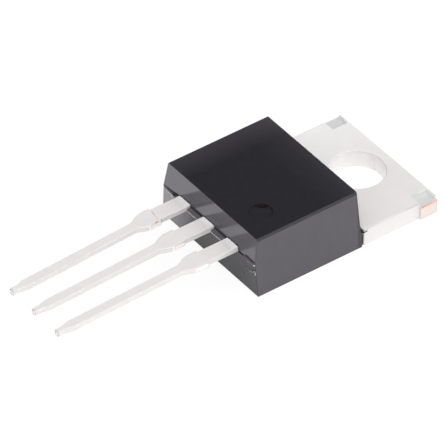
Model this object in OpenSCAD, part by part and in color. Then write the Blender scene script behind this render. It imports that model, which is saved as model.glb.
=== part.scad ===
// Power transistor in a flat three-lead package, lying on its metal back.
// The origin is the centre of the mounting hole on the back plane.
// +Y points to the free end of the tab, the leads run along -Y, and +Z points up through the body.
// All sizes are in millimetres and all angles in degrees.

/* [Tab] */
// From the body's side at the foot to the tab's side
tab_inset = 0.08; // [0.02:0.01:0.15]
// Thickness of the tab and of the heat spreader behind it
tab_t = 1.3; // [1.15:0.05:1.4]
// Diameter of the mounting hole
hole_d = 3.8; // [3.5:0.05:4.1]
// From the hole's centre to the free end of the tab
hole_to_end = 2.56; // [2.5:0.02:3.1]
// From the hole's centre to the foot of the moulded body
hole_to_body = 3.49; // [3.3:0.01:3.9]
// Length of each sheared tie-bar stub, along the tab's side from its free end
tie_l = 1.34; // [0.8:0.02:1.6]
// How far a sheared stub stands out beyond the tab's side
tie_out = 0.14; // [0.05:0.01:0.3]
// From the tab's free end to the coined recess over each stub
coin_setback = 0.12; // [0.04:0.02:0.3]
// Width of the coined recess, measured in from the tab's side
coin_w = 0.9; // [0.6:0.05:1.2]
// Depth of the coined recess
coin_depth = 0.25; // [0.1:0.05:0.4]
// Width of the recess's sloping inner wall
coin_run = 0.12; // [0.05:0.01:0.25]

/* [Heat spreader] */
// Compound on each side of the heat spreader, at the foot of the body
wall_w = 0.85; // [0.7:0.05:1.2]
// From the lead end of the body's foot to the heat spreader
spreader_setback = 1.5; // [1.3:0.05:1.9]
// Width of the ledge that the compound grips along each side of the spreader
lock_w = 0.3; // [0.15:0.05:0.45]
// Height of that ledge above the back plane
lock_h = 0.4; // [0.25:0.05:0.6]
// Width of the sealing groove across the top of the spreader
groove_w = 0.5; // [0.3:0.05:0.8]
// Depth of the sealing groove
groove_depth = 0.2; // [0.1:0.05:0.35]
// From the foot of the body at the tab end to the middle of the groove
groove_at = 0.9; // [0.6:0.05:1.2]

/* [Body] */
// Width of the body at its foot
body_w = 10.25; // [9.8:0.05:10.5]
// Length of the body at its foot
body_l = 8.45; // [8:0.01:9.2]
// Height of the body
body_h = 4.52; // [4.2:0.02:4.8]
// Draft of the two long sides
side_draft = 4.9; // [2:0.1:7]
// Draft of the end that meets the tab
tab_end_draft = 4.2; // [2:0.1:7]
// Height of the parting line of the mould above the back plane
parting_z = 2.71; // [2.65:0.01:2.8]
// Draft of the lead end above the parting line
upper_draft = 7; // [5:0.1:12]
// Draft of the lead end below the parting line
lower_draft = 3.6; // [1:0.1:6]
// Height of the bevel along the two long top edges
bevel_h = 0.18; // [0.05:0.01:0.3]
// Width of that bevel
bevel_w = 0.1; // [0.03:0.01:0.2]
// Radius of the ejector-pin mark on the top
mark_r = 0.79; // [0.5:0.01:1]
// Depth of the ejector-pin mark
mark_depth = 0.14; // [0.05:0.01:0.3]
// From the body's side at the foot to the middle of the mark
mark_in = 2.5; // [1.8:0.01:3]
// From the lead end of the body's foot to the middle of the mark
mark_at = 1.96; // [1.6:0.02:3]
// How far the compound round the tab's neck reaches along the tab
neck_fill = 0.15; // [0.05:0.01:0.3]
// How far that compound stays below the tab's top face
neck_drop = 0.12; // [0.05:0.01:0.3]
// How far it stays inside the body's long sides
neck_inset = 0.05; // [0.02:0.01:0.2]

/* [Flash] */
// How far the web of compound between the leads stands out of the parting line
web_out = 0.27; // [0.05:0.01:0.4]
// Thickness of the flash beside the outer leads
flash_t = 0.1; // [0.05:0.01:0.14]
// From the body's corner to the end of the flash
flash_corner = 0.08; // [0.05:0.01:0.3]
// How far the flash beside the base lead stands out next to the corner
base_flash_out = 0.04; // [0.02:0.01:0.15]
// Length of the flash beside the emitter lead
emitter_flash_l = 1.05; // [0.6:0.05:1.3]
// How far that flash stands out at its inner end
emitter_flash_root = 0.18; // [0.05:0.01:0.25]
// How far it stands out next to the corner
emitter_flash_out = 0.12; // [0.05:0.01:0.25]

/* [Leads] */
// Distance between two neighbouring leads
pitch = 2.54; // [2.45:0.01:2.6]
// Thickness of a lead
lead_t = 0.39; // [0.36:0.01:0.5]
// Underside of the leads above the back plane
lead_z = 2.55; // [2.45:0.01:2.65]
// Width of a lead next to the body
root_w = 1.16; // [1.1:0.01:1.25]
// Width of the long thin part
pin_w = 0.68; // [0.6:0.01:0.8]
// Width across the cut dam bar
dam_w = 1.38; // [1.3:0.01:1.6]
// From the parting line to the dam bar
dam_at = 2.4; // [2:0.01:3]
// Length of the cut dam bar along the lead
dam_l = 0.85; // [0.7:0.01:1.2]
// Length of the curved shoulder from the dam bar down to the thin part
shoulder_l = 1.05; // [0.8:0.05:1.6]
// From the parting line to the tip of a lead
lead_l = 13.85; // [12.7:0.05:14.2]
// Width of the squared nub at the tip
nub_w = 0.38; // [0.35:0.01:0.5]
// Length of that nub
nub_l = 0.52; // [0.3:0.02:0.8]
// Length of the taper behind the nub
taper_l = 0.52; // [0.3:0.02:0.8]
// From the bend in a free lead to its dam bar
bend_in = 0.2; // [0.1:0.05:0.6]
// Angle by which the leads droop past the bend
droop = 2.4; // [0.5:0.1:4]
// Angle by which the base lead leans towards the middle
base_lean = 0.8; // [0:0.1:1.5]
// Angle by which the emitter lead leans towards the middle
emitter_lean = 0.4; // [0:0.1:1.5]

/* [Inside the body] */
// Width of the riser that joins the middle lead to the spreader
riser_w = 1.9; // [1.6:0.05:2.1]
// Slope of the riser
riser_slope = 62; // [58:1:68]
// Length of the riser's tongue that lies in the spreader
tongue_l = 0.5; // [0.3:0.05:0.8]
// Width of a bond post
post_w = 2.4; // [2.2:0.05:2.5]
// Length of a bond post
post_l = 1.5; // [1.2:0.05:1.8]
// From the parting line to a bond post, and to the riser's full width
post_at = 0.85; // [0.6:0.05:1.1]
// Side of the square chip
die_w = 3; // [2.4:0.1:3.4]
// Thickness of the chip
die_t = 0.28; // [0.2:0.02:0.35]
// From a bond post's inner end to the chip's nearest edge
die_gap = 1.03; // [0.9:0.01:1.2]
// Thickness of the solder under the chip
solder_t = 0.08; // [0.05:0.01:0.12]
// How far the solder shows round the chip
solder_rim = 0.12; // [0.05:0.01:0.3]
// From the chip's two nearest edges to the middle of the base pad
base_pad_in = 0.6; // [0.4:0.05:0.8]
// From the chip's nearest edge to the middle of the emitter pad
emitter_pad_in = 0.9; // [0.5:0.05:1.2]
// Diameter of the base wire
base_wire_d = 0.25; // [0.2:0.01:0.3]
// Diameter of the emitter wire
emitter_wire_d = 0.38; // [0.3:0.01:0.4]
// How far a wire's arc rises above the chord between its two ends
wire_rise = 0.55; // [0.5:0.05:0.65]
// Length of a wire's flattened foot, in wire diameters
foot_long = 2; // [1.6:0.1:2.4]
// Width of the foot, in wire diameters
foot_wide = 1.4; // [1.1:0.1:1.6]
// Height of the foot, in wire diameters
foot_high = 0.7; // [0.5:0.05:0.9]

/* [Hidden] */
$fn = 96;
// Tool bodies run past the faces that they cut by this much
over = 1;
// Number of straight steps in a shoulder's curve
shoulder_steps = 8;

// Widths that follow the body's foot
tab_w = body_w - 2 * tab_inset;
spreader_w = body_w - 2 * wall_w;

// Places along Y
tab_end_y = hole_to_end;
foot_tab_y = -hole_to_body;
foot_lead_y = foot_tab_y - body_l;
parting_y = foot_lead_y - parting_z * tan(lower_draft);
web_y = parting_y - web_out;
bend_y = parting_y - dam_at + bend_in;
tip_y = parting_y - lead_l;
neck_y = foot_tab_y + neck_fill;
stub_y = tab_end_y - tie_l;
coin_end_y = tab_end_y - coin_setback;
spreader_end_y = foot_lead_y + spreader_setback;
groove_y = foot_tab_y - groove_at;
post_y = parting_y + post_at;
post_mid_y = post_y + post_l / 2;
post_end_y = post_y + post_l;
die_y = post_end_y + die_gap + die_w / 2;

// Heights above the back plane
lead_top_z = lead_z + lead_t;
tip_fall = (bend_y - tip_y) * tan(droop);
coin_z = tab_t - coin_depth;
die_z = tab_t + solder_t;
die_top_z = die_z + die_t;
bevel_z = body_h - bevel_h;
neck_z = tab_t - neck_drop;

// The body's half width at a height, and the places of its top edges
function side_x(z) = body_w / 2 - z * tan(side_draft);
top_x = side_x(bevel_z) - bevel_w;
top_tab_y = foot_tab_y - body_h * tan(tab_end_draft);
top_lead_y = parting_y + (body_h - parting_z) * tan(upper_draft);

// The other half of an outline that is the same on both sides of the Y axis
function mirrored(points) = [for (i = [len(points) - 1:-1:0]) [-points[i][0], points[i][1]]];

// An outline whose points past the bend lean sideways by an angle
function leaned(points, lean) =
    [for (p = points) [p[0] + tan(lean) * max(0, bend_y - p[1]), p[1]]];

// Extrudes a section drawn in X and Z along Y
module along_y(from_y, to_y) {
    translate([0, to_y, 0])
        rotate([90, 0, 0])
            linear_extrude(height = to_y - from_y)
                children();
}

// Extrudes a side view drawn in Y and Z to both sides of the middle plane
module along_x(width) {
    translate([-width / 2, 0, 0])
        rotate([90, 0, 90])
            linear_extrude(height = width)
                children();
}

// The tab and the spreader from above, with the neck where the body begins
module plate_outline() {
    right = [
        [tab_w / 2, tab_end_y],
        [tab_w / 2, neck_y],
        [spreader_w / 2, neck_y],
        [spreader_w / 2, spreader_end_y]
    ];
    polygon(concat(right, mirrored(right)));
}

// Side view of the tab and the spreader, with the sealing groove across the top
module plate_side() {
    polygon([
        [spreader_end_y, 0],
        [tab_end_y, 0],
        [tab_end_y, tab_t],
        [groove_y + groove_w / 2, tab_t],
        [groove_y, tab_t - groove_depth],
        [groove_y - groove_w / 2, tab_t],
        [spreader_end_y, tab_t]
    ]);
}

// Coined recess over a tie-bar stub, open to the tab's side and with a sloping inner wall
module coin_cut() {
    inner_x = tab_w / 2 - coin_w;
    outer_x = tab_w / 2 + over;
    along_y(stub_y, coin_end_y)
        polygon([
            [inner_x + coin_run, coin_z],
            [outer_x, coin_z],
            [outer_x, tab_t + over],
            [inner_x - coin_run * over / coin_depth, tab_t + over]
        ]);
}

// Stub of the tie bar that held the tab in its strip, sheared off just outside the tab's side
module tie_stub() {
    inner_x = tab_w / 2 - coin_w + coin_run;
    translate([inner_x, stub_y, 0])
        cube([tab_w / 2 + tie_out - inner_x, tie_l, coin_z]);
}

// Ledge under one side of the spreader, which the compound fills so that the plate can't pull out
module lock_cut() {
    translate([spreader_w / 2 - lock_w, spreader_end_y - over, -over])
        cube([lock_w + over, foot_tab_y - spreader_end_y + over, lock_h + over]);
}

// Draws its children on both sides of the middle plane
module both_sides() {
    children();
    mirror([1, 0, 0])
        children();
}

// Outline of a lead from above, about its own axis, from its wide part in the body to the tip
module lead_outline(inner_w, inner_end_y, lean) {
    dam_end_y = parting_y - dam_at - dam_l;
    shoulder = [
        for (i = [0:shoulder_steps])
            let (t = i / shoulder_steps, share = (1 + cos(180 * t)) / 2)
                [(pin_w + (dam_w - pin_w) * share) / 2, dam_end_y - shoulder_l * t]
    ];
    right = concat(
        [
            [inner_w / 2, inner_end_y],
            [inner_w / 2, post_y],
            [root_w / 2, post_y],
            [root_w / 2, bend_y],
            [root_w / 2, parting_y - dam_at],
            [dam_w / 2, parting_y - dam_at]
        ],
        shoulder,
        [
            [pin_w / 2, tip_y + nub_l + taper_l],
            [nub_w / 2, tip_y + nub_l],
            [nub_w / 2, tip_y]
        ]
    );
    polygon(leaned(concat(right, mirrored(right)), lean));
}

// Side view of a lead: level out of the body and drooping past the bend, over any points that lie inside
module lead_side(under, above) {
    polygon(concat(
        under,
        [
            [bend_y, lead_z],
            [tip_y, lead_z - tip_fall],
            [tip_y, lead_top_z - tip_fall],
            [bend_y, lead_top_z]
        ],
        above
    ));
}

// Middle lead: its strip is bent down inside the body and its tongue lies in the spreader
module middle_lead() {
    low_z = tab_t - lead_t;
    tongue_y = spreader_end_y + tongue_l;
    foot_y = spreader_end_y - lead_t / 2;
    run_y = foot_y - (lead_z - low_z) / tan(riser_slope);
    mitre = lead_t * tan(riser_slope / 2);
    intersection() {
        linear_extrude(height = body_h)
            lead_outline(riser_w, tongue_y, 0);
        along_x(body_w)
            lead_side(
                [[tongue_y, low_z], [foot_y, low_z], [run_y, lead_z]],
                [[run_y + mitre, lead_top_z], [foot_y + mitre, tab_t], [tongue_y, tab_t]]
            );
    }
}

// Outer lead about its own axis, with a bond post at its inner end
module outer_lead(lean) {
    intersection() {
        linear_extrude(height = body_h)
            lead_outline(post_w, post_end_y, lean);
        along_x(body_w)
            lead_side([[post_end_y, lead_z]], [[post_end_y, lead_top_z]]);
    }
}

module collector_frame() {
    color("gainsboro")
        union() {
            difference() {
                intersection() {
                    linear_extrude(height = tab_t)
                        plate_outline();
                    along_x(tab_w + over)
                        plate_side();
                }
                translate([0, 0, -over])
                    cylinder(h = tab_t + 2 * over, d = hole_d);
                both_sides()
                    coin_cut();
                both_sides()
                    lock_cut();
            }
            both_sides()
                tie_stub();
            middle_lead();
        }
}

module base_lead() {
    color("gainsboro")
        translate([-pitch, 0, 0])
            outer_lead(base_lean);
}

module emitter_lead() {
    color("gainsboro")
        translate([pitch, 0, 0])
            outer_lead(-emitter_lean);
}

module die_solder() {
    solder_w = die_w + 2 * solder_rim;
    color("silver")
        translate([-solder_w / 2, die_y - solder_w / 2, tab_t])
            cube([solder_w, solder_w, solder_t]);
}

module die() {
    color("slategray")
        translate([-die_w / 2, die_y - die_w / 2, die_z])
            cube([die_w, die_w, die_t]);
}

// A wire that stands in a vertical plane and arcs from a low pad to a high one, with a foot on each
module bond_wire(low, high, d) {
    lift = high[2] - low[2];
    run = norm([high[0] - low[0], high[1] - low[1]]);
    chord = norm([run, lift]);
    heading = atan2(high[1] - low[1], high[0] - low[0]);
    arc_r = (chord * chord / 4 + wire_rise * wire_rise) / (2 * wire_rise);
    half_sweep = asin(chord / 2 / arc_r);
    foot = [foot_long, foot_wide, foot_high] * d;
    translate([low[0], low[1], low[2] + d / 2])
        rotate([0, -atan2(lift, run), heading])
            translate([chord / 2, 0, wire_rise - arc_r])
                rotate([90, half_sweep - 90, 0])
                    rotate_extrude(angle = 2 * half_sweep)
                        translate([arc_r, 0])
                            circle(d = d);
    for (pad = [low, high])
        translate(pad)
            rotate([0, 0, heading])
                translate([-foot[0] / 2, -foot[1] / 2, 0])
                    cube(foot);
}

module base_wire() {
    color("whitesmoke")
        bond_wire(
            [base_pad_in - die_w / 2, die_y - die_w / 2 + base_pad_in, die_top_z],
            [-pitch, post_mid_y, lead_top_z],
            base_wire_d
        );
}

module emitter_wire() {
    color("whitesmoke")
        bond_wire(
            [die_w / 2 - emitter_pad_in, die_y, die_top_z],
            [pitch, post_mid_y, lead_top_z],
            emitter_wire_d
        );
}

// Thin flash beside an outer lead, squeezed out along the parting line from one place to another
module flash(from_x, from_out, to_x, to_out) {
    translate([0, parting_y, parting_z - flash_t])
        linear_extrude(height = flash_t)
            polygon([
                [from_x, flash_t],
                [to_x, flash_t],
                [to_x, -to_out],
                [from_x, -from_out]
            ]);
}

// Outer form of the body: drafted sides crossed with drafted ends, and the webs, flash and neck fill
module body_form() {
    right = [[side_x(0), 0], [side_x(bevel_z), bevel_z], [top_x, body_h]];
    fill_x = side_x(neck_z) - neck_inset;
    flash_x = side_x(parting_z) - flash_corner;
    union() {
        intersection() {
            along_y(parting_y - over, foot_tab_y + over)
                polygon(concat(right, mirrored(right)));
            along_x(body_w + over)
                polygon([
                    [foot_lead_y, 0],
                    [foot_tab_y, 0],
                    [top_tab_y, body_h],
                    [top_lead_y, body_h],
                    [parting_y, parting_z]
                ]);
        }
        translate([-pitch, web_y, lead_z])
            cube([2 * pitch, web_out + lead_t, parting_z - lead_z]);
        flash(-flash_x, base_flash_out, -pitch, web_out);
        flash(flash_x - emitter_flash_l, emitter_flash_root, flash_x, emitter_flash_out);
        translate([-fill_x, foot_tab_y - neck_z, 0])
            cube([2 * fill_x, neck_fill + neck_z, neck_z]);
    }
}

module moulded_body() {
    color([0.17, 0.16, 0.18])
        difference() {
            body_form();
            translate([body_w / 2 - mark_in, foot_lead_y + mark_at, body_h - mark_depth])
                cylinder(h = mark_depth + over, r = mark_r);
            collector_frame();
            base_lead();
            emitter_lead();
            die_solder();
            die();
            base_wire();
            emitter_wire();
        }
}

collector_frame();
base_lead();
emitter_lead();
die_solder();
die();
base_wire();
emitter_wire();
moulded_body();
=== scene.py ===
# %% [markdown]
# # A power transistor, dressed in Blender
#
# The object is a silicon chip in a block of black epoxy. A thick tab carries its heat away, and three
# tin-plated leads carry its current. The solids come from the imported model, in metres: the hole's
# centre is the origin, the tab points along +Y, the leads run along -Y, and it lies on its back.
# The solids have the main shapes. This script adds the small roundings, the traces that moulding
# and trimming leave, the finishes, the light and the camera.

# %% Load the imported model
import math

import bmesh
import bpy
from mathutils import Matrix, Vector


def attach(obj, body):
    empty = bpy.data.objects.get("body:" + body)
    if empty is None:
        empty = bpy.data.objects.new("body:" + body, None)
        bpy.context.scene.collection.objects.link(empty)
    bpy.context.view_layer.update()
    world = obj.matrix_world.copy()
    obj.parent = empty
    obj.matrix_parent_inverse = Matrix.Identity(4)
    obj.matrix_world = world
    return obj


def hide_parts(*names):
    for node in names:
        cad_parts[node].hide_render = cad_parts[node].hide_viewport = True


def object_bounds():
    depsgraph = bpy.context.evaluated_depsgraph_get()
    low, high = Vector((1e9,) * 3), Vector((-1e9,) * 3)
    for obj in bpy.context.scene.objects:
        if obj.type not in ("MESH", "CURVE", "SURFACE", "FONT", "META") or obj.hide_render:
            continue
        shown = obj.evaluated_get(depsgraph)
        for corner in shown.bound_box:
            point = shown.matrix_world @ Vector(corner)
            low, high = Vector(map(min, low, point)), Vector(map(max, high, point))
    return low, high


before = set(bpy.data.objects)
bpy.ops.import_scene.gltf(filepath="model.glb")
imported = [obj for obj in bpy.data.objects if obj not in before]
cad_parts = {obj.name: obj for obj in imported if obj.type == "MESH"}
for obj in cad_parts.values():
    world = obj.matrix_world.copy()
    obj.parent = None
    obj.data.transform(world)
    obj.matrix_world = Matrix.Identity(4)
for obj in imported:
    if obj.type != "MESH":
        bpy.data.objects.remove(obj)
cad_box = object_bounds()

MM = 0.001
print("nodes:", ", ".join(sorted(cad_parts)))

# %% [markdown]
# ## The camera first
#
# The photograph was taken from above the right of the leads, with a long lens: parallel edges of the
# body stay nearly parallel. So the camera stands almost half a metre away and is zoomed in. It is
# built from an azimuth, an elevation and a small roll, because these can be fitted one at a time.
# Their values come from a fit to the part's corners, as read in the photograph.

# %% Camera
PICTURE = 444
azimuth, elevation, roll = math.radians(51.829), math.radians(40.499), math.radians(1.623)
distance = 472.116 * MM
pixels_per_mm = 15.568
target = Vector((-0.2657, -10.8285, 2.0294)) * MM

back = Vector((math.sin(azimuth) * math.cos(elevation), -math.cos(azimuth) * math.cos(elevation),
               math.sin(elevation)))
level = Vector((math.cos(azimuth), math.sin(azimuth), 0))
upward = back.cross(level)
right = math.cos(roll) * level + math.sin(roll) * upward
up = math.cos(roll) * upward - math.sin(roll) * level

camera = bpy.data.objects.new("camera", bpy.data.cameras.new("camera"))
bpy.context.scene.collection.objects.link(camera)
turn = Matrix((right, up, back)).transposed().to_4x4()
camera.matrix_world = Matrix.Translation(target + distance * back) @ turn
camera.data.lens = camera.data.sensor_width * distance / (PICTURE / pixels_per_mm * MM)
camera.data.clip_start = 0.05
camera.data.clip_end = 10
bpy.context.scene.camera = camera
print("lens %.0f mm at %.0f mm" % (camera.data.lens, distance / MM))

# %% [markdown]
# ## Three helpers for every node tree
#
# Colours are written as the hex values that one reads off a picture, and one function turns them
# into the linear light that the shaders expect. Another function adds a node: plain settings go in
# by name, and an input takes either a value or the output socket of another node. The third starts
# a material with an empty tree.

# %% Colours and nodes
def linear(code):
    """Linear colour of an sRGB hex value."""
    shares = [int(code[i:i + 2], 16) / 255 for i in (1, 3, 5)]
    return [s / 12.92 if s <= 0.04045 else ((s + 0.055) / 1.055) ** 2.4 for s in shares] + [1]


def add(tree, kind, inputs=None, **settings):
    """Adds a node to a tree, with its settings, its values and its links."""
    made = tree.nodes.new(kind)
    for name, value in settings.items():
        setattr(made, name, value)
    for socket, value in (inputs or {}).items():
        if isinstance(value, bpy.types.NodeSocket):
            tree.links.new(value, made.inputs[socket])
        else:
            made.inputs[socket].default_value = value
    return made


def empty_material(name):
    """A material with an empty tree, and that tree."""
    made = bpy.data.materials.new(name)
    made.use_nodes = True
    made.node_tree.nodes.clear()
    return made, made.node_tree


print("#808080 is %.3f in linear light" % linear("#808080")[0])

# %% [markdown]
# ## The studio
#
# Small parts are photographed on white paper in a tent of white cloth. Metal has hardly a colour of
# its own: it looks bright because the tent is bright, so the tent's shades are the metal's shades.
# Here the tent is a dome that the camera doesn't see. Three soft lamps shine through it, over its
# roof, to the right and in front, and three weaker ones help them. Their strengths were worked out
# by asking how bright each part of the tent must be for the leads, the tab and the body to look as
# they do. It is dim towards the front left, and so the leads' reflections in the body's end are
# dark. The world behind it is plain white for every ray that looks for a background.

# %% The world and the rays that look for a background
BOUNCED_WORLD = 0.9


def looking(tree):
    """1 for camera, glossy and transmission rays, which see the white background."""
    path = add(tree, "ShaderNodeLightPath")
    seen = add(tree, "ShaderNodeMath", {0: path.outputs["Is Camera Ray"], 1: path.outputs["Is Glossy Ray"]})
    return add(tree, "ShaderNodeMath", {0: seen.outputs[0], 1: path.outputs["Is Transmission Ray"]},
               use_clamp=True).outputs[0]


world = bpy.data.worlds.new("White studio")
bpy.context.scene.world = world
world.use_nodes = True
tree = world.node_tree
tree.nodes.clear()
white = add(tree, "ShaderNodeBackground", {"Color": linear("#FFFFFF"), "Strength": 1})
dim = add(tree, "ShaderNodeBackground", {"Color": linear("#FFFFFF"), "Strength": BOUNCED_WORLD})
chosen = add(tree, "ShaderNodeMixShader", {0: looking(tree), 1: dim.outputs[0], 2: white.outputs[0]})
add(tree, "ShaderNodeOutputWorld", {"Surface": chosen.outputs[0]})
print("world: white to look at, %.1f for light that bounces" % BOUNCED_WORLD)

# %% The shades of the tent
# A lamp is an angle from +X towards +Y, an angle above the paper, both in degrees, and a strength.
LAMPS = ((0, 90, 1.9), (0, 48, 1.5), (60, 48, 0.5), (180, 48, 0.3), (20, 14, 0.8), (285, 52, 1.5))
# A power of the cosine: each lamp is a soft spot, half as bright 21 degrees from its middle.
LAMP_FOCUS = 10.0
# The cloth between the lamps, and the dim side, which sets in between two cosines.
BASE_LEVEL = 0.4
DIM_SIDE = (227, 30)
DIM_LEVEL = 0.1
DIM_FROM = 0.4
DIM_FULL = 0.85


def direction(turned, height):
    """Unit vector at an angle from +X towards +Y, and at an angle above the ground, in degrees."""
    turned, height = math.radians(turned), math.radians(height)
    return Vector((math.cos(turned) * math.cos(height), math.sin(turned) * math.cos(height),
                   math.sin(height)))


tent_cloth, tree = empty_material("Tent of white cloth")
place = add(tree, "ShaderNodeTexCoord").outputs["Object"]
heading = add(tree, "ShaderNodeVectorMath", {0: place}, operation="NORMALIZE").outputs[0]
facing = add(tree, "ShaderNodeVectorMath", {0: heading, 1: direction(*DIM_SIDE)}, operation="DOT_PRODUCT")
light = add(tree, "ShaderNodeMapRange",
            {"Value": facing.outputs["Value"], "From Min": DIM_FROM, "From Max": DIM_FULL,
             "To Min": BASE_LEVEL, "To Max": DIM_LEVEL}, interpolation_type="SMOOTHSTEP").outputs[0]
for turned, height, strength in LAMPS:
    facing = add(tree, "ShaderNodeVectorMath", {0: heading, 1: direction(turned, height)},
                 operation="DOT_PRODUCT")
    near = add(tree, "ShaderNodeMath", {0: facing.outputs["Value"], 1: 0.0}, operation="MAXIMUM")
    spot = add(tree, "ShaderNodeMath", {0: near.outputs[0], 1: LAMP_FOCUS}, operation="POWER")
    light = add(tree, "ShaderNodeMath", {0: spot.outputs[0], 1: strength, 2: light},
                operation="MULTIPLY_ADD").outputs[0]
cloth = add(tree, "ShaderNodeEmission", {"Color": linear("#FFFFFF"), "Strength": light})
add(tree, "ShaderNodeOutputMaterial", {"Surface": cloth.outputs[0]})
# It is all round the part, so every ray finds it, and it needn't be sampled as a lamp.
tent_cloth.cycles.emission_sampling = "NONE"
print("tent cloth with %d lamps" % len(LAMPS))

# %% The tent
TENT_RADIUS = 1.5
TENT_LOW_Z = -0.1

shape = bmesh.new()
bmesh.ops.create_icosphere(shape, subdivisions=4, radius=TENT_RADIUS)
bmesh.ops.delete(shape, geom=[v for v in shape.verts if v.co.z < TENT_LOW_Z], context="VERTS")
tent_mesh = bpy.data.meshes.new("tent")
shape.to_mesh(tent_mesh)
shape.free()
tent_mesh.materials.append(tent_cloth)
tent = bpy.data.objects.new("tent", tent_mesh)
bpy.context.scene.collection.objects.link(tent)
tent.visible_camera = False
print("tent of %d faces" % len(tent_mesh.polygons))

# %% [markdown]
# The paper is white to the camera, with a share of real light so that the part's soft shadow stays
# on it. In reflections it takes more of the real light, shadow and all, and it is about a third
# brighter than white: the photograph's paper is past white, which shows in the body's polished end.
# For light that bounces it is plain white paper.

# %% The paper
SHADOW_SHARE = 0.09
SEEN_WHITE = 1.01
MIRRORED_SHARE = 0.8
MIRRORED_WHITE = 2.9
PAPER_HALF = 1.4
PAPER_DROP = 0.0001

paper, tree = empty_material("White paper")
from_camera = add(tree, "ShaderNodeLightPath").outputs["Is Camera Ray"]
strength = add(tree, "ShaderNodeMapRange",
               {"Value": from_camera, "To Min": MIRRORED_WHITE, "To Max": SEEN_WHITE})
share = add(tree, "ShaderNodeMapRange",
            {"Value": from_camera, "To Min": MIRRORED_SHARE, "To Max": SHADOW_SHARE})
lit = add(tree, "ShaderNodeBsdfDiffuse", {"Color": linear("#FCFCFC")})
bright = add(tree, "ShaderNodeEmission", {"Color": linear("#FFFFFF"), "Strength": strength.outputs[0]})
shown = add(tree, "ShaderNodeMixShader", {0: share.outputs[0], 1: bright.outputs[0], 2: lit.outputs[0]})
surface = add(tree, "ShaderNodeMixShader", {0: looking(tree), 1: lit.outputs[0], 2: shown.outputs[0]})
add(tree, "ShaderNodeOutputMaterial", {"Surface": surface.outputs[0]})
paper.cycles.emission_sampling = "NONE"

shape = bmesh.new()
bmesh.ops.create_grid(shape, x_segments=1, y_segments=1, size=PAPER_HALF)
bmesh.ops.translate(shape, verts=shape.verts, vec=(0, 0, cad_box[0][2] - PAPER_DROP * MM))
paper_mesh = bpy.data.meshes.new("paper")
shape.to_mesh(paper_mesh)
shape.free()
paper_mesh.materials.append(paper)
floor = bpy.data.objects.new("paper", paper_mesh)
bpy.context.scene.collection.objects.link(floor)
print("paper at z %.3f mm" % (cad_box[0][2] / MM))

# %% [markdown]
# ## The finishes of the moulding compound
#
# The body is epoxy filled with ground quartz, black with a little soot. One function gives all its
# looks, which differ by how the mould was finished there, and by painted light and shade. The top's
# mould was spark-eroded, so the top is dull. The draughted sides were polished, so the body lets go
# of them, and they mirror the paper softly. The end with the leads is the brightest above the parting
# line. Below it, it is dark and streaked upright, and painted paler to the left: a painted reflection.
#
# The real grain is a few hundredths of a millimetre. That is too fine to show in the picture, so it
# is drawn a few times coarser. The fine soot gives what the epoxy mirrors a slightly blue tint.

# %% Painted light and shade along an axis
def painted_ramps(tree, place, colour, painted_tone, ramps):
    """Mixes in a colour of painted light and shade. A ramp is an axis, where it starts and where it is full,
    in mm, and its share.
    """
    along = add(tree, "ShaderNodeSeparateXYZ", {0: place})
    total = 0.0
    for axis, start, full, share in ramps:
        ramp = add(tree, "ShaderNodeMapRange", {"Value": along.outputs[axis], "From Min": start * MM,
                                                "From Max": full * MM, "To Max": share})
        total = add(tree, "ShaderNodeMath", {0: total, 1: ramp.outputs[0]}).outputs[0]
    return add(tree, "ShaderNodeMix", {0: total, 6: colour, 7: linear(painted_tone)}, data_type="RGBA")


# %% Moulding compound
SOOT_TINT = "#F7F3FF"


def epoxy(name, dark, pale, blotch, grain, grain_depth, roughness, ior, specular=0.5,
          painted_tone="#000000", ramps=()):
    """Moulding compound. Blotch and grain are sizes in mm along X, Y and Z, and grain_depth is in mm."""
    made, tree = empty_material(name)
    place = add(tree, "ShaderNodeTexCoord").outputs["Object"]
    patch_space = add(tree, "ShaderNodeMapping", {"Vector": place, "Scale": [1 / (s * MM) for s in blotch]})
    patches = add(tree, "ShaderNodeTexNoise", {"Vector": patch_space.outputs[0], "Scale": 1, "Detail": 3})
    patched = add(tree, "ShaderNodeMix", {0: patches.outputs[0], 6: linear(dark), 7: linear(pale)},
                  data_type="RGBA")
    colour = painted_ramps(tree, place, patched.outputs[2], painted_tone, ramps)
    grain_space = add(tree, "ShaderNodeMapping", {"Vector": place, "Scale": [1 / (s * MM) for s in grain]})
    grains = add(tree, "ShaderNodeTexNoise", {"Vector": grain_space.outputs[0], "Scale": 1, "Detail": 2})
    relief = add(tree, "ShaderNodeBump", {"Height": grains.outputs[0], "Strength": 1,
                                          "Distance": grain_depth * MM})
    surface = add(tree, "ShaderNodeBsdfPrincipled",
                  {"Base Color": colour.outputs[2], "Roughness": roughness, "IOR": ior,
                   "Specular IOR Level": specular, "Specular Tint": linear(SOOT_TINT),
                   "Normal": relief.outputs[0]})
    add(tree, "ShaderNodeOutputMaterial", {"Surface": surface.outputs[0]})
    return made


# %% The moulded faces
FINE_GRAIN = (0.12, 0.12, 0.12)

# Spark-eroded: dull and nearly black. Towards the left edge and towards the tab it is painted a little
# greyer: a painted sheen.
epoxy_top = epoxy("Moulded epoxy, spark-eroded", "#212025", "#28272C", (0.5, 0.5, 0.5), FINE_GRAIN,
                  grain_depth=0.012, roughness=0.9, ior=1.5, specular=0.1, painted_tone="#48464C",
                  ramps=[("X", -2.6, -4.6, 0.45), ("Y", -6.4, -3.8, 0.22), ("Y", -4.6, -3.8, 0.12)])
# The narrow strip along the top is satin, and a shade paler than the top.
epoxy_strip = epoxy("Moulded epoxy, edge strip", "#29282D", "#313035", (0.4, 0.8, 0.4), FINE_GRAIN,
                    grain_depth=0.006, roughness=0.6, ior=1.5)
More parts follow.
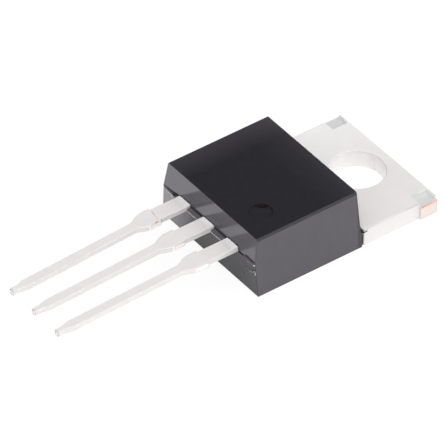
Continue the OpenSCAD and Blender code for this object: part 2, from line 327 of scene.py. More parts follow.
# Polished: an even grey, which is the paper mirrored softly. Right at the tab's end it is painted dark:
# painted shade along that corner.
epoxy_side = epoxy("Moulded epoxy, polished wall", "#37353A", "#413E44", (0.6, 0.6, 1.2), (0.2, 0.2, 0.3),
                   grain_depth=0.003, roughness=0.42, ior=1.6, painted_tone="#0C0B0D",
                   ramps=[("Y", -3.92, -3.76, 0.95)])
# Polished best: it mirrors the paper and the leads. It outshines plain epoxy, so its IOR is raised.
epoxy_slope = epoxy("Moulded epoxy, bright upper end", "#302F33", "#363439", (0.3, 0.3, 0.8),
                    (0.3, 0.3, 0.6), grain_depth=0.001, roughness=0.12, ior=1.88)
# It mirrors less, so its IOR is lowered. Its patches stand upright, and towards the left it is painted paler:
# a painted reflection of the lit paper.
epoxy_lower = epoxy("Moulded epoxy, lower end", "#201F22", "#2A282C", (0.15, 0.15, 0.8),
                    (0.12, 0.12, 0.6), grain_depth=0.003, roughness=0.25, ior=1.36, painted_tone="#8E8C90",
                    ramps=[("X", -1.8, -3.6, 0.9), ("X", 2.4, -1.8, 0.1)])
print("five finishes for the moulded faces")

# %% The flash and the slits
CRUMB_PATCH = (0.1, 0.1, 0.1)
CRUMB_GRAIN = (0.06, 0.06, 0.06)

# A web of flash is thin and rough, so it is greyer than the body. Its front is painted darker: painted shade.
epoxy_web = epoxy("Moulded epoxy, web", "#575158", "#656067", (0.2, 0.2, 0.2), FINE_GRAIN,
                  grain_depth=0.006, roughness=0.5, ior=1.5)
epoxy_web_front_painted_shade = epoxy("Moulded epoxy, web front", "#3F3B40", "#4B474D", (0.2, 0.2, 0.2), FINE_GRAIN,
                        grain_depth=0.006, roughness=0.5, ior=1.5)
# Where a skin ends or breaks, its edge is painted grey, and almost white at a break: painted glints.
epoxy_skin_with_glint = epoxy("Moulded epoxy, edge of a thin skin", "#77757A", "#8E8C90", CRUMB_PATCH,
                   CRUMB_GRAIN, grain_depth=0.006, roughness=0.5, ior=1.6)
epoxy_flash_with_glint = epoxy("Moulded epoxy, broken flash", "#B4B2B6", "#DAD8DC", CRUMB_PATCH,
                    CRUMB_GRAIN, grain_depth=0.012, roughness=0.5, ior=1.6)
# Hardly any light comes back out of a slit: this near-black is painted shade there, in a dent and in a
# hollow. It is also the dark whisker's own colour.
dark_whisker_and_painted_shade = epoxy("Moulded epoxy, unlit in a slit", "#171416", "#221D1F", CRUMB_PATCH,
                 CRUMB_GRAIN, grain_depth=0.004, roughness=0.9, ior=1.5, specular=0.1)
print("five more for the flash and the slits")

# %% [markdown]
# ## The finishes of the metal
#
# The frame is copper strip with matt tin on it, plated after moulding. Matt tin is a skin of tiny
# crystals, which scatter most of the light as chalk does and mirror only a share of it. So the
# leads stay paler next to the black body than a plain rough metal would, and there their upper sides
# are painted paler still: painted light. The lines that the rolls leave in the strip run along it.
# They are finer than the picture can show, so they are drawn 0.08 mm apart. Where the strip was cut
# after plating, the press leaves bare copper with tin smeared over it: cuts are pinkish.

# %% Tin plating
MIRROR_SHARE = 0.3
CLOUDS = 0.9
ROLLED_LINES = (0.08, 0.9, 0.08)


def tin(name, dark, pale, rough=0.6, mirror_share=MIRROR_SHARE, ramps=()):
    """Matt tin, cloudy, and lined along Y by the rolls. Ramps paint light, leading to white; clouds add 0.1
    of roughness.
    """
    made, tree = empty_material(name)
    place = add(tree, "ShaderNodeTexCoord").outputs["Object"]
    cloud_space = add(tree, "ShaderNodeMapping", {"Vector": place, "Scale": [1 / (CLOUDS * MM)] * 3})
    clouds = add(tree, "ShaderNodeTexNoise", {"Vector": cloud_space.outputs[0], "Scale": 1, "Detail": 4})
    colour = add(tree, "ShaderNodeMix", {0: clouds.outputs[0], 6: linear(dark), 7: linear(pale)},
                 data_type="RGBA")
    roughness = add(tree, "ShaderNodeMapRange", {"Value": clouds.outputs[0], "From Min": 0.3, "From Max": 0.7,
                                                 "To Min": rough, "To Max": rough + 0.1})
    line_space = add(tree, "ShaderNodeMapping", {"Vector": place,
                                                 "Scale": [1 / (s * MM) for s in ROLLED_LINES]})
    lines = add(tree, "ShaderNodeTexNoise", {"Vector": line_space.outputs[0], "Scale": 1, "Detail": 2})
    relief = add(tree, "ShaderNodeBump", {"Height": lines.outputs[0], "Strength": 1, "Distance": 0.002 * MM})
    painted_light = painted_ramps(tree, place, colour.outputs[2], "#FFFFFF", ramps)
    surface = add(tree, "ShaderNodeBsdfPrincipled",
                  {"Base Color": painted_light.outputs[2], "Metallic": mirror_share,
                   "Roughness": roughness.outputs[0], "Normal": relief.outputs[0]})
    add(tree, "ShaderNodeOutputMaterial", {"Surface": surface.outputs[0]})
    return made


TIN = ("#DDDAD9", "#E5E2E1")
tin_plate = tin("Matt tin on copper strip", *TIN)
# Next to the body the upper side of a lead is painted paler: painted light against the body's shade.
tin_root_painted_light = tin("Matt tin, upper side of a lead", *TIN, ramps=[("Y", -12.65, -12.15, 1.0)])
# The tab's upper side is painted a little paler towards the left: painted light.
tin_face = tin("Matt tin, upper side of the tab", *TIN, ramps=[("X", 1.5, -5.0, 0.35)])
# A punch smooths the wall that it cuts, so the hole's wall has more of a sheen. Towards +X it is painted
# paler: painted light.
tin_hole = tin("Matt tin, punched wall of the hole", "#E3E1E0", "#E9E7E6", rough=0.5, mirror_share=0.4,
               ramps=[("X", -0.6, 1.8, 0.6)])
# The stamp that coined the recesses burnished their floors, which are greyer for it.
tin_coined = tin("Matt tin, burnished floor of the recess", "#D0D2D2", "#D8DAD9", rough=0.5,
                 mirror_share=0.4)
# The end wall of a recess is the palest of all.
tin_wall = tin("Matt tin, wall of the recess", "#F2F3F2", "#FAFAF9", mirror_share=0.1)
print("six finishes of tin")

# %% Cut copper
TEARS = (0.1, 0.1, 0.25)
TEAR_HEIGHT = 0.2


def cut_copper(name, smeared, bare, from_z, to_z):
    """A sheared face: smeared tin below from_z, bare copper above to_z, both in mm."""
    made, tree = empty_material(name)
    place = add(tree, "ShaderNodeTexCoord").outputs["Object"]
    space = add(tree, "ShaderNodeMapping", {"Vector": place, "Scale": [1 / (s * MM) for s in TEARS]})
    tears = add(tree, "ShaderNodeTexNoise", {"Vector": space.outputs[0], "Scale": 1, "Detail": 3})
    height = add(tree, "ShaderNodeSeparateXYZ", {0: place})
    ragged = add(tree, "ShaderNodeMath", {0: tears.outputs[0], 1: TEAR_HEIGHT * MM, 2: height.outputs["Z"]},
                 operation="MULTIPLY_ADD")
    share = add(tree, "ShaderNodeMapRange", {"Value": ragged.outputs[0],
                                             "From Min": (from_z + TEAR_HEIGHT / 2) * MM,
                                             "From Max": (to_z + TEAR_HEIGHT / 2) * MM})
    colour = add(tree, "ShaderNodeMix", {0: share.outputs[0], 6: linear(smeared), 7: linear(bare)},
                 data_type="RGBA")
    relief = add(tree, "ShaderNodeBump", {"Height": tears.outputs[0], "Strength": 1, "Distance": 0.01 * MM})
    surface = add(tree, "ShaderNodeBsdfPrincipled",
                  {"Base Color": colour.outputs[2], "Metallic": MIRROR_SHARE, "Roughness": 0.5,
                   "Normal": relief.outputs[0]})
    add(tree, "ShaderNodeOutputMaterial", {"Surface": surface.outputs[0]})
    return made


# The thick stub shows the most copper, and the thin cuts of the leads are almost covered by tin.
stub_cut = cut_copper("Sheared copper, tie bar", "#DFD3CC", "#EBBBA6", from_z=0.8, to_z=0.9)
dam_cut = cut_copper("Sheared copper, dam bar", "#FCF9F6", "#F6EDE8", from_z=2.3, to_z=3.0)
tip_cut = cut_copper("Sheared copper, lead tip", "#F8F5F4", "#EDE3DF", from_z=1.9, to_z=2.5)
# A burr is torn and darker than the cut it borders, and a smear is copper with no tin on it.
burr_metal = cut_copper("Sheared copper, burr", "#CBC5C2", "#BDB0AA", from_z=1.9, to_z=2.9)
red_smear = cut_copper("Bare copper, smeared by the press", "#B98F80", "#B98F80", from_z=0, to_z=1)
print("five finishes of cut copper")

# %% [markdown]
# ## Inside the body
#
# The chip, its solder and its two bond wires can't be seen from outside, but they are part of the
# model. Their solids are right as they are, so they keep their meshes and get real finishes.

# %% Solder, silicon and aluminium
def bare_metal(name, dark, pale, patch, roughness):
    """A metal with soft patches of a size in mm, for the small parts inside."""
    made, tree = empty_material(name)
    place = add(tree, "ShaderNodeTexCoord").outputs["Object"]
    space = add(tree, "ShaderNodeMapping", {"Vector": place, "Scale": [1 / (patch * MM)] * 3})
    patches = add(tree, "ShaderNodeTexNoise", {"Vector": space.outputs[0], "Scale": 1, "Detail": 3})
    colour = add(tree, "ShaderNodeMix", {0: patches.outputs[0], 6: linear(dark), 7: linear(pale)},
                 data_type="RGBA")
    relief = add(tree, "ShaderNodeBump", {"Height": patches.outputs[0], "Strength": 1,
                                          "Distance": 0.003 * MM})
    surface = add(tree, "ShaderNodeBsdfPrincipled",
                  {"Base Color": colour.outputs[2], "Metallic": 1, "Roughness": roughness,
                   "Normal": relief.outputs[0]})
    add(tree, "ShaderNodeOutputMaterial", {"Surface": surface.outputs[0]})
    return made


# Solder freezes to a dull grey, the chip's pads shine like a mirror, and drawn wire is satin.
inside = {
    "die_solder": bare_metal("Soft solder, reflowed", "#9C9DA0", "#B9BABD", patch=0.3, roughness=0.4),
    "die": bare_metal("Silicon with a metal pad layer", "#6E747D", "#8A9099", patch=0.5, roughness=0.25),
    "base_wire": bare_metal("Aluminium bond wire", "#C9CBCE", "#DDDFE1", patch=0.1, roughness=0.3),
}
inside["emitter_wire"] = inside["base_wire"]
for name, finish in inside.items():
    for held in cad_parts[name].material_slots:
        held.material = finish
print("finished inside:", ", ".join(inside))

# %% [markdown]
# ## From CAD solids to softened copies
#
# A CAD edge has no width, and a real one always has: a mould can't fill a perfect corner, and a
# press rounds the side where its punch goes in. So each visible solid is copied, its loose
# triangles are merged, and its flat faces are made whole. Each face gets a name from the plane it
# lies in, and each pair of names has a width in millimetres. The Bevel modifier reads those widths
# from the edges. That is more work than one width for all, but the photograph shows them apart:
# the leads are soft, and the body's top edge is almost sharp.
#
# The planes follow from the sizes below. They repeat the model's own, in mm and degrees.

# %% Sizes of the tab
tab_t, hole_d = 1.3, 3.8
tab_side_x, tab_end_y = 5.045, 2.56
# The floor and the inner end of the coined recesses, and the stubs of the tie bar beside them
coin_z, coin_end_y = 1.05, 2.44
stub_side_x, stub_low_y = 5.185, 1.22
print("tab %.2f wide, %.2f with its stubs, %.1f thick" % (2 * tab_side_x, 2 * stub_side_x, tab_t))

# %% Sizes of the body
body_w, body_h, strip_h = 10.25, 4.52, 0.18
# Where its ends meet the back plane, and the height of the parting line
foot_tab_y, foot_lead_y, parting_z = -3.49, -11.94, 2.71
# The lean of its walls, in degrees
side_draft, tab_draft, upper_draft, lower_draft = 4.9, 4.2, 7, 3.6
# The round mark of the ejector pin
mark_x, mark_y, mark_r = 2.625, -9.98, 0.79


def leaning(length, degrees):
    """How far a line that leans by some degrees goes aside over a length."""
    return length * math.tan(math.radians(degrees))


def side_x(z):
    """Half the body's width at a height."""
    return body_w / 2 - leaning(z, side_draft)


parting_y = foot_lead_y - leaning(parting_z, lower_draft)
web_y = parting_y - 0.27
print("body from y %.2f to %.2f, %.2f high" % (parting_y, foot_tab_y, body_h))

# %% Sizes of the leads
pitch, lead_z, lead_t = 2.54, 2.55, 0.39
root_w, dam_w, nub_w = 1.16, 1.38, 0.38
# From the body outwards: the post inside, the cut ends of the dam bar, the bend and the tip
post_y = parting_y + 0.85
dam_high_y = parting_y - 2.4
dam_low_y = dam_high_y - 0.85
bend_y = dam_high_y + 0.2
tip_y = parting_y - 13.85
# How many degrees the leads fall past the bend, where each starts along X, and how it leans there
DROOP = 2.4
LEADS = {"base_lead": (-pitch, 0.8), "collector_frame": (0, 0), "emitter_lead": (pitch, -0.4)}


def fall(y):
    """How far a lead has drooped at a place along it."""
    return leaning(max(0, bend_y - y), DROOP)


def lead_axis(node, y):
    """X of a lead's axis, which leans a little towards the middle past its bend."""
    start, lean = LEADS[node]
    return start + leaning(max(0, bend_y - y), lean)


print("leads to y %.2f, where they hang %.2f lower" % (tip_y, fall(tip_y)))

# %% [markdown]
# A face's name comes from its direction and its middle. The middle of a flat face lies in its
# plane, however many corners it has, so one distance to a plane is enough. A width is found by the
# names of the two faces that meet at an edge, in the order of the alphabet. A pair that isn't in
# the list stays sharp.

# %% Names for the faces of the body
NEAR = 0.01     # how far a face's middle may lie from a plane that it belongs to, in mm
FACING = 0.9    # how much of its normal points a way, in a face that looks that way
SQUARE = 0.99   # the same for a face that looks straight along X


def body_face(n, x, y, z):
    """Name of a face of the body, from its normal and its middle."""
    upper_y = parting_y + leaning(z - parting_z, upper_draft)
    lower_y = foot_lead_y - leaning(z, lower_draft)
    end_y = foot_tab_y - leaning(z, tab_draft)
    if n.z > FACING and z > body_h - NEAR:
        return "top"
    if z > body_h - 0.2 and math.hypot(x - mark_x, y - mark_y) < mark_r + NEAR:
        return "mark floor" if n.z > FACING else "mark"
    if abs(n.x) > SQUARE and abs(abs(x) - side_x(z)) < NEAR:
        return "side"
    if 0.8 < abs(n.x) < 0.95 and z > body_h - strip_h:
        return "strip"
    if n.y > FACING and abs(y - end_y) < NEAR:
        return "tab end"
    if n.y < -FACING and z > parting_z and abs(y - upper_y) < NEAR:
        return "slope"
    if n.y < -FACING and z < parting_z and abs(y - lower_y) < NEAR:
        return "lower"
    if n.z < -FACING and z < NEAR:
        return "back"
    if y < parting_y - NEAR / 2:
        return "flash top" if n.z > 0.5 else "flash"
    if y > foot_tab_y + NEAR / 2 and z < tab_t:
        return "neck"
    return "inside"


# %% Widths for the edges of the body
body_widths = {
    "strip top": 0.02, "tab end top": 0.03, "slope top": 0.02, "mark top": 0.03,
    "side strip": 0.04, "side tab end": 0.06, "strip tab end": 0.03, "slope strip": 0.03,
    "side slope": 0.08, "lower side": 0.08, "back side": 0.03, "back tab end": 0.03,
    "back lower": 0.03, "inside slope": 0.05, "inside lower": 0.04, "back inside": 0.02,
    "inside tab end": 0.02, "flash flash": 0.015, "flash flash top": 0.02, "flash inside": 0.02,
    "neck neck": 0.02, "inside neck": 0.02,
}
print("%d widths for the body" % len(body_widths))

# %% Names for the faces of the leads
def lead_face(node, n, x, y, z):
    """Name of a face of a lead, from its normal and its middle."""
    low = lead_z - fall(y)
    off_axis = abs(x - lead_axis(node, y))
    if n.z > FACING and abs(z - low - lead_t) < NEAR:
        return "upper"
    if n.z < -FACING and abs(z - low) < NEAR:
        return "under"
    if y > post_y or z < low - 0.05:
        return "inside"
    if n.y < -FACING and y < tip_y + NEAR:
        return "tip"
    if abs(n.x) > SQUARE and abs(off_axis - dam_w / 2) < NEAR:
        return "cut"
    if n.y > FACING:
        return "step"
    return "flank"


# %% Names for the faces of the tab and its lead
def frame_face(n, x, y, z):
    """Name of a face of the tab or the middle lead, from its normal and its middle."""
    if y < foot_tab_y - NEAR:
        return lead_face("collector_frame", n, x, y, z)
    if abs(n.z) < 0.1 and abs(math.hypot(x, y) - hole_d / 2) < NEAR:
        return "hole"
    if n.z > FACING and z > tab_t - NEAR:
        return "face"
    if n.z > FACING and abs(z - coin_z) < NEAR:
        return "coin"
    if n.z < -FACING and z < NEAR:
        return "back"
    if z > coin_z and abs(x) < tab_side_x - NEAR and y < tab_end_y - NEAR:
        return "coin end wall" if abs(n.y) > FACING else "coin wall"
    if z > coin_z and y > coin_end_y:
        return "rim" if abs(n.x) > SQUARE else "end"
    if n.y > FACING and y > tab_end_y - NEAR:
        return "end"
    if abs(x) > stub_side_x - NEAR:
        return "stub cut"
    if abs(x) > tab_side_x + NEAR:
        return "stub"
    return "edge"


# %% Widths for the edges of the metal
lead_widths = {
    "flank upper": 0.05, "flank under": 0.03, "cut upper": 0.05, "cut under": 0.03, "step upper": 0.05,
    "step under": 0.03, "tip upper": 0.04, "tip under": 0.03, "flank tip": 0.04, "cut step": 0.03,
}
tab_widths = {
    "edge face": 0.1, "end face": 0.03, "face hole": 0.07, "back hole": 0.04, "back edge": 0.04,
    "back end": 0.03, "coin wall face": 0.04, "coin end wall face": 0.04, "coin stub cut": 0.03,
    "face rim": 0.03, "end rim": 0.03, "end stub cut": 0.03, "coin end": 0.02,
    "stub stub cut": 0.02, "back stub cut": 0.02, "back stub": 0.02,
}
print("%d widths for the leads, %d for the tab" % (len(lead_widths), len(tab_widths)))

# %% A draft as a plain mesh
def plain(draft, name):
    """The evaluated shape of a draft as a plain mesh, in an object of its own."""
    bpy.context.view_layer.update()
    depsgraph = bpy.context.evaluated_depsgraph_get()
    mesh = bpy.data.meshes.new_from_object(draft.evaluated_get(depsgraph), preserve_all_data_layers=True,
                                           depsgraph=depsgraph)
    bpy.data.objects.remove(draft)
    mesh.name = name
    made = bpy.data.objects.new(name, mesh)
    bpy.context.scene.collection.objects.link(made)
    return made


def level_corners(mesh, planes):
    """Gives what is left of each flat face its own normal at all its corners."""
    normals = [corner.vector.copy() for corner in mesh.corner_normals]
    for face, mark in zip(mesh.polygons, mesh.attributes["flat"].data):
        if mark.value and any(face.normal.dot(plane) > 0.99999 for plane in planes):
            for i in face.loop_indices:
                normals[i] = face.normal.copy()
    mesh.normals_split_custom_set(normals)


def hand_over(piece, slot, *nodes):
    """Hangs a piece on the root and hides the solids that it stands for. The slot, for its finish, is not
    used.
    """
    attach(piece, "root")
    if nodes:
        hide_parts(*nodes)


# %% The softening itself
WIDEST = 0.1                    # the width that a weight of 1 stands for, in mm
MERGED = 0.001                  # corners this close are one, in mm
CURVED = ("hole", "mark")       # faces that stand for a round wall
FLAT_FROM = 0.1                 # a face this large, in mm2, keeps its own normal
BENT_FROM = math.radians(15)    # an edge that bends less is part of a curve
CREASE_FROM = math.radians(30)  # an edge that bends more shows as a crease


def softened(node, name, namer, widths, finishes):
    """A copy of a CAD node with rounded edges. finishes maps a face's name to its material."""
    shape = bmesh.new()
    shape.from_mesh(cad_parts[node].data)
    bmesh.ops.remove_doubles(shape, verts=shape.verts, dist=MERGED * MM)
    bmesh.ops.dissolve_limit(shape, angle_limit=math.radians(0.5), verts=shape.verts, edges=shape.edges)
    weights = shape.edges.layers.float.new("bevel_weight_edge")
    flat = shape.faces.layers.int.new("flat")
    materials = list(dict.fromkeys(finishes.values()))
    names = {}
    for face in shape.faces:
        names[face] = namer(face.normal, *(face.calc_center_median() / MM))
        face.material_index = materials.index(finishes.get(names[face], materials[0]))
        face.smooth = True
        face[flat] = names[face] not in CURVED and face.calc_area() > FLAT_FROM * MM ** 2
    planes = {tuple(face.normal) for face in shape.faces if face[flat]}
    for edge in shape.edges:
        pair = " ".join(sorted(names[face] for face in edge.link_faces))
        if edge.is_convex and edge.calc_face_angle() > BENT_FROM:
            edge[weights] = widths.get(pair, 0) / WIDEST
    rounded = sum(edge[weights] > 0 for edge in shape.edges)
    mesh = bpy.data.meshes.new(name)
    shape.to_mesh(mesh)
    shape.free()
    mesh.set_sharp_from_angle(angle=CREASE_FROM)
    for finish in materials:
        mesh.materials.append(finish)
    draft = bpy.data.objects.new(name, mesh)
    bpy.context.scene.collection.objects.link(draft)
    bevel = draft.modifiers.new("Soft edges", "BEVEL")
    bevel.limit_method = "WEIGHT"
    bevel.width = WIDEST * MM
    bevel.segments = 3
    bevel.profile = 0.5
    bevel.harden_normals = True
    bevel.use_clamp_overlap = False
    soft = plain(draft, name)
    level_corners(soft.data, [Vector(plane) for plane in planes])
    print("%s: %d edges rounded, %d faces" % (name, rounded, len(soft.data.polygons)))
    return soft


# %% The body
epoxies = {
    "side": epoxy_side, "top": epoxy_top, "mark floor": epoxy_top, "mark": epoxy_strip,
    "strip": epoxy_strip, "slope": epoxy_slope, "lower": epoxy_lower, "flash top": epoxy_web,
    "flash": epoxy_web_front_painted_shade,
}
body = softened("moulded_body", "body", body_face, body_widths, epoxies)
hand_over(body, "epoxy", "moulded_body")

# %% The tab and the leads
metals = {
    "flank": tin_plate, "face": tin_face, "hole": tin_hole, "coin": tin_coined, "coin wall": tin_coined,
    "coin end wall": tin_wall, "upper": tin_root_painted_light, "cut": dam_cut, "tip": tip_cut, "stub cut": stub_cut,
}
heatsink = softened("collector_frame", "tab_and_middle_lead", frame_face, {**lead_widths, **tab_widths},
                    metals)
hand_over(heatsink, "tinned_copper", "collector_frame")

for node, name in (("base_lead", "left_lead"), ("emitter_lead", "right_lead")):
    lead = softened(node, name, lambda n, x, y, z: lead_face(node, n, x, y, z), lead_widths, metals)
    hand_over(lead, "tinned_copper", node)

# %% [markdown]
# ## Burrs and beads
#
# Two kinds of trace follow an edge here. Epoxy creeps between the mould's halves and leaves a thin
# ragged bead, and a press leaves a fine burr round every cut. Both are a thin round cord that
# wanders and changes in thickness, so one Geometry Nodes tree makes both from a path: it resamples
# the path, shakes its points with noise, and sweeps a small circle along it. A seed is the noise's
# fourth coordinate, so that each piece looks its own way and comes out the same in every run.

# %% The tree that follows a path
burr_tree = bpy.data.node_groups.new("Burr along a path", "GeometryNodeTree")
burr_tree.interface.new_socket("Geometry", in_out="INPUT", socket_type="NodeSocketGeometry")
for title, kind in (("Radius", "Float"), ("Ragged", "Float"), ("Wander", "Float"), ("Grain", "Float"),
                    ("Step", "Float"), ("Taper", "Float"), ("Seed", "Float"), ("Material", "Material")):
    burr_tree.interface.new_socket(title, in_out="INPUT", socket_type="NodeSocket" + kind)
burr_tree.interface.new_socket("Geometry", in_out="OUTPUT", socket_type="NodeSocketGeometry")

given = add(burr_tree, "NodeGroupInput").outputs
path = add(burr_tree, "GeometryNodeMeshToCurve", {0: given["Geometry"]})
even = add(burr_tree, "GeometryNodeResampleCurve", {"Curve": path.outputs[0], "Length": given["Step"]},
           mode="LENGTH")
here = add(burr_tree, "GeometryNodeInputPosition")
per_grain = add(burr_tree, "ShaderNodeMath", {0: 1.0, 1: given["Grain"]}, operation="DIVIDE")
noise = add(burr_tree, "ShaderNodeTexNoise", {"Vector": here.outputs[0], "Scale": per_grain.outputs[0],
                                              "W": given["Seed"], "Detail": 2}, noise_dimensions="4D")
centred = add(burr_tree, "ShaderNodeVectorMath", {0: noise.outputs["Color"], 1: (0.5, 0.5, 0.5)},
              operation="SUBTRACT")
shake = add(burr_tree, "ShaderNodeVectorMath", {0: centred.outputs[0], "Scale": given["Wander"]},
            operation="SCALE")
moved = add(burr_tree, "GeometryNodeSetPosition", {"Geometry": even.outputs[0], "Offset": shake.outputs[0]})
thin = add(burr_tree, "ShaderNodeMath", {0: 1.0, 1: given["Ragged"]}, operation="SUBTRACT")
thick = add(burr_tree, "ShaderNodeMath", {0: 1.0, 1: given["Ragged"]}, operation="ADD")
# The noise hardly ever leaves 0.35 to 0.65, so that range is stretched to the whole raggedness.
uneven = add(burr_tree, "ShaderNodeMapRange", {"Value": noise.outputs[0], "From Min": 0.35, "From Max": 0.65,
                                               "To Min": thin.outputs[0], "To Max": thick.outputs[0]})
along = add(burr_tree, "GeometryNodeSplineParameter")
loss = add(burr_tree, "ShaderNodeMath", {0: along.outputs["Factor"], 1: given["Taper"]}, operation="MULTIPLY")
kept = add(burr_tree, "ShaderNodeMath", {0: 1.0, 1: loss.outputs[0]}, operation="SUBTRACT")
size = add(burr_tree, "ShaderNodeMath", {0: uneven.outputs[0], 1: kept.outputs[0]}, operation="MULTIPLY")
ring = add(burr_tree, "GeometryNodeCurvePrimitiveCircle", {"Resolution": 6, "Radius": given["Radius"]})
swept = add(burr_tree, "GeometryNodeCurveToMesh",
            {"Curve": moved.outputs[0], "Profile Curve": ring.outputs[0], "Scale": size.outputs[0],
             "Fill Caps": True})
smooth = add(burr_tree, "GeometryNodeSetShadeSmooth", {0: swept.outputs[0]})
real = add(burr_tree, "GeometryNodeRealizeInstances", {0: smooth.outputs[0]})
coated = add(burr_tree, "GeometryNodeSetMaterial",
             {"Geometry": real.outputs[0], "Material": given["Material"]})
add(burr_tree, "NodeGroupOutput", {0: coated.outputs[0]})
sockets = {item.name: item.identifier for item in burr_tree.interface.items_tree if item.in_out == "INPUT"}
print("tree of %d nodes" % len(burr_tree.nodes))

# %% A piece from paths
GRAIN, STEP = 0.15, 0.04


def burr(name, paths, material, slot, radius, seed, wander, ragged=0.5, taper=0.0, closed=False):
    """Cords along paths of points, joined in one piece. Lengths are in mm.

    Ragged is the share by which the thickness varies, and taper the share that is lost by the end."""
    points, edges = [], []
    for path in paths:
        first = len(points)
        points += [Vector(p) * MM for p in path]
        edges += [(i, i + 1) for i in range(first, len(points) - 1)]
        if closed:
            edges.append((len(points) - 1, first))
    mesh = bpy.data.meshes.new(name)
    mesh.from_pydata(points, edges, [])
    draft = bpy.data.objects.new(name, mesh)
    bpy.context.scene.collection.objects.link(draft)
    modifier = draft.modifiers.new("Burr", "NODES")
    modifier.node_group = burr_tree
    for title, value in (("Radius", radius * MM), ("Ragged", ragged), ("Wander", wander * MM),
                         ("Grain", GRAIN * MM), ("Step", STEP * MM), ("Taper", taper),
                         ("Seed", float(seed)), ("Material", material)):
        modifier[sockets[title]] = value
    made = plain(draft, name)
    hand_over(made, slot)
    print("%s: %d faces" % (name, len(made.data.polygons)))


# %% [markdown]
# The beads of epoxy follow the lower front edge of the web between two leads, and of the flash
# beside the outer leads, where the mould's halves met. Their near white is a painted glint. On the
# left a bit of it tore off and left a lump, and a dark cord over it is painted shade.

# %% Beads of flash along the parting line
between = [[(side * (pitch - root_w / 2), web_y, lead_z + 0.01), (side * root_w / 2, web_y, lead_z + 0.01)]
           for side in (-1, 1)]
burr("web_beads", between, epoxy_flash_with_glint, "epoxy", radius=0.02, seed=2, wander=0.04)

left_edge = [(-4.7, parting_y - 0.03, 2.5), (-4.35, parting_y - 0.04, 2.49), (-4.02, parting_y - 0.05, 2.48)]
left_lump = [(-3.88, parting_y - 0.06, 2.53), (-3.78, parting_y - 0.07, 2.5), (-3.68, parting_y - 0.07, 2.47)]
left_shade = [(-3.95, parting_y - 0.02, 2.6), (-3.7, parting_y - 0.08, 2.72), (-3.45, parting_y - 0.12, 2.74)]
right_edge = [(4.96, parting_y - 0.08, 2.64), (4.57, parting_y - 0.1, 2.58), (4.2, parting_y - 0.1, 2.53)]
burr("left_bead", [left_edge], epoxy_flash_with_glint, "epoxy", radius=0.055, seed=5, wander=0.03)
burr("left_lump", [left_lump], epoxy_flash_with_glint, "epoxy", radius=0.085, seed=6, wander=0.04)
burr("left_shade", [left_shade], dark_whisker_and_painted_shade, "epoxy", radius=0.05, seed=13, wander=0.02, ragged=0.3)
burr("right_bead", [right_edge], epoxy_flash_with_glint, "epoxy", radius=0.035, seed=8, wander=0.03, taper=0.8)

# %% [markdown]
# On the right a skin of compound got under the mould's edge and lies on the lower face. Its edge
# runs down to the corner and ends there in crumbs.

# %% The skin's edge, its crumbs and the sliver on the corner
def on_lower(x, z, proud):
    """A point of the lower face, or so far in front of it."""
    return (x, foot_lead_y - leaning(z, lower_draft) - proud, z)


skin_edge = [on_lower(x, z, 0.01) for x, z in ((4.22, 1.71), (4.0, 1.72), (3.74, 1.77), (3.52, 1.81),
                                               (3.3, 1.87))]
crumbs = [on_lower(x, z, 0.02) for x, z in ((4.26, 1.7), (4.42, 1.74), (4.5, 1.9), (4.62, 1.8), (4.74, 1.95),
                                             (4.86, 2.08))]
sliver = [on_lower(4.89, 1.98, 0.0), on_lower(4.87, 1.7, 0.0)]
# The skin's edge and its crumbs are painted pale: painted glints.
burr("skin_edge", [skin_edge], epoxy_skin_with_glint, "epoxy", radius=0.035, seed=9, wander=0.02, taper=0.6)
burr("crumbs", [crumbs], epoxy_skin_with_glint, "epoxy", radius=0.03, seed=10, wander=0.12, ragged=0.9)
burr("corner_sliver", [sliver], epoxy_flash_with_glint, "epoxy", radius=0.02, seed=11, wander=0.01)

# %% [markdown]
# Lower down on the same face sits one pale fleck, a grain of old compound that the mould picked up.
# Most of it is sunk in the face.

# %% The fleck on the lower face
fleck = [on_lower(3.47, 0.95, -0.14), on_lower(3.61, 0.85, -0.14)]
burr("lower_fleck", [fleck], epoxy_web, "epoxy", radius=0.19, seed=19, wander=0.01, ragged=0.2)

# %% [markdown]
# The pin that pushes the body out of the mould leaves a round dent. Its far corner lies in shade,
# and dark cords paint that shade there.

# %% The painted shade in the ejector's mark
# Three arcs within the rim: how far in, in mm, and from which angle to which, in degrees.
SHADE_ARCS = ((0.07, 110, 175), (0.16, 118, 168), (0.24, 126, 161))
shade_arcs = [[(mark_x + (mark_r - inset) * math.cos(math.radians(turned)),
          mark_y + (mark_r - inset) * math.sin(math.radians(turned)), body_h - 0.1)
         for turned in range(first, last, 8)]
        for inset, first, last in SHADE_ARCS]
burr("mark_shade", shade_arcs, dark_whisker_and_painted_shade, "epoxy", radius=0.075, seed=18, wander=0.01, ragged=0.2, taper=0.5)

# %% [markdown]
# At the tab's neck a whisker of compound hangs from the body's corner on to the tab's side, with a
# grey crumb under it. It got there through the same gap between the halves of the mould.

# %% The whisker and the crumb at the neck
whisker = [(tab_side_x + 0.03, -3.5, 1.24), (tab_side_x + 0.02, -3.42, 1.15), (tab_side_x, -3.25, 1.09),
           (tab_side_x, -3.1, 1.14)]
neck_crumb = [(tab_side_x, -3.46, 1.03), (tab_side_x, -3.36, 0.99)]
burr("neck_whisker", [whisker], dark_whisker_and_painted_shade, "epoxy", radius=0.045, seed=14, wander=0.02, taper=0.3)
burr("neck_crumb", [neck_crumb], epoxy_skin_with_glint, "epoxy", radius=0.045, seed=15, wander=0.02)

# %% [markdown]
# Compound shrinks as it hardens and leaves a hair of a gap round each lead. Moulders can't avoid
# it, and the eye sees it as a thin dark line where the lead goes in. A dark cord paints the shade
# in that gap.

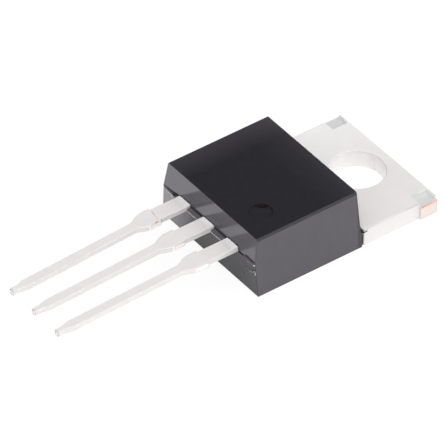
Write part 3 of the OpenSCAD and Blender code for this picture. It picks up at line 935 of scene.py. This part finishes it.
# %% Painted shade in the gaps round the leads
lead_top_z = lead_z + lead_t
entry_y = parting_y + leaning(lead_top_z - parting_z, upper_draft)
gap_shade_paths = []
for start, _ in LEADS.values():
    left_x, right_x = start - root_w / 2, start + root_w / 2
    gap_shade_paths.append([(left_x, entry_y, lead_top_z), (right_x - 0.03, entry_y, lead_top_z),
                 (right_x + 0.01, entry_y, lead_top_z - 0.06), (right_x + 0.01, parting_y, parting_z)])
burr("entry_slit_shade", gap_shade_paths, dark_whisker_and_painted_shade, "epoxy", radius=0.035, seed=12, wander=0.015, ragged=0.35)

# %% [markdown]
# The burrs of metal go round each cut: the six ends of the dam bar that joined the leads until the
# body was moulded, the two stubs of the tie bar, and the three tips.

# %% Burrs round the cuts
def lead_point(node, x, y, height):
    """A point of a lead, from its axis and its underside."""
    return (lead_axis(node, y) + x, y, lead_z - fall(y) + height)


# Each ring lies 0.005 to 0.03 mm inside the edges of its cut.
dam_rings, tip_rings = [], []
for node in LEADS:
    for side in (-1, 1):
        x = side * (dam_w / 2 - 0.005)
        dam_rings.append([lead_point(node, x, dam_high_y - 0.02, 0.02),
                          lead_point(node, x, dam_high_y - 0.02, lead_t - 0.02),
                          lead_point(node, x, dam_low_y + 0.02, lead_t - 0.02),
                          lead_point(node, x, dam_low_y + 0.02, 0.02)])
    x = nub_w / 2 - 0.03
    tip_rings.append([lead_point(node, -x, tip_y, 0.02), lead_point(node, x, tip_y, 0.02),
                      lead_point(node, x, tip_y, lead_t - 0.03), lead_point(node, -x, tip_y, lead_t - 0.03)])
burr("dam_bar_burrs", dam_rings, burr_metal, "tinned_copper", radius=0.014, seed=3, wander=0.02, closed=True)
burr("tip_burrs", tip_rings, burr_metal, "tinned_copper", radius=0.018, seed=4, wander=0.02, closed=True)

for side, title, metal in ((-1, "left_stub_burr", dam_cut), (1, "right_stub_burr", stub_cut)):
    ring = [(side * stub_side_x, stub_low_y + 0.01, 0.02), (side * stub_side_x, tab_end_y - 0.02, 0.02),
            (side * stub_side_x, tab_end_y - 0.02, coin_z - 0.01),
            (side * stub_side_x, stub_low_y + 0.01, coin_z - 0.01)]
    burr(title, [ring], metal, "tinned_copper", radius=0.018, seed=7, wander=0.02, closed=True)

# %% [markdown]
# On the left lead the press also dragged a thread of bare copper across the top, and left a smear
# of it on the edge of the cut. A second smear lies along the top of the right tie-bar stub.

# %% The thread of copper and its smear
thread = [lead_point("base_lead", -0.39, -14.52, lead_t),
          lead_point("base_lead", 0.1, -14.58, lead_t + 0.004), lead_point("base_lead", 0.61, -14.68, lead_t)]
smear = [lead_point("base_lead", 0.64, -14.8, lead_t - 0.01),
         lead_point("base_lead", 0.67, -15, lead_t - 0.03)]
stub_smear = [(stub_side_x, stub_low_y + 0.05, coin_z - 0.05), (stub_side_x, stub_low_y + 0.9, coin_z - 0.04)]
burr("copper_thread", [thread], red_smear, "tinned_copper", radius=0.012, seed=16, wander=0.03)
burr("copper_smear", [smear, stub_smear], red_smear, "tinned_copper", radius=0.03, seed=17, wander=0.02)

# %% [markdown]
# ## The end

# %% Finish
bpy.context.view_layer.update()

bpy.context.scene.view_settings.view_transform = "Standard"
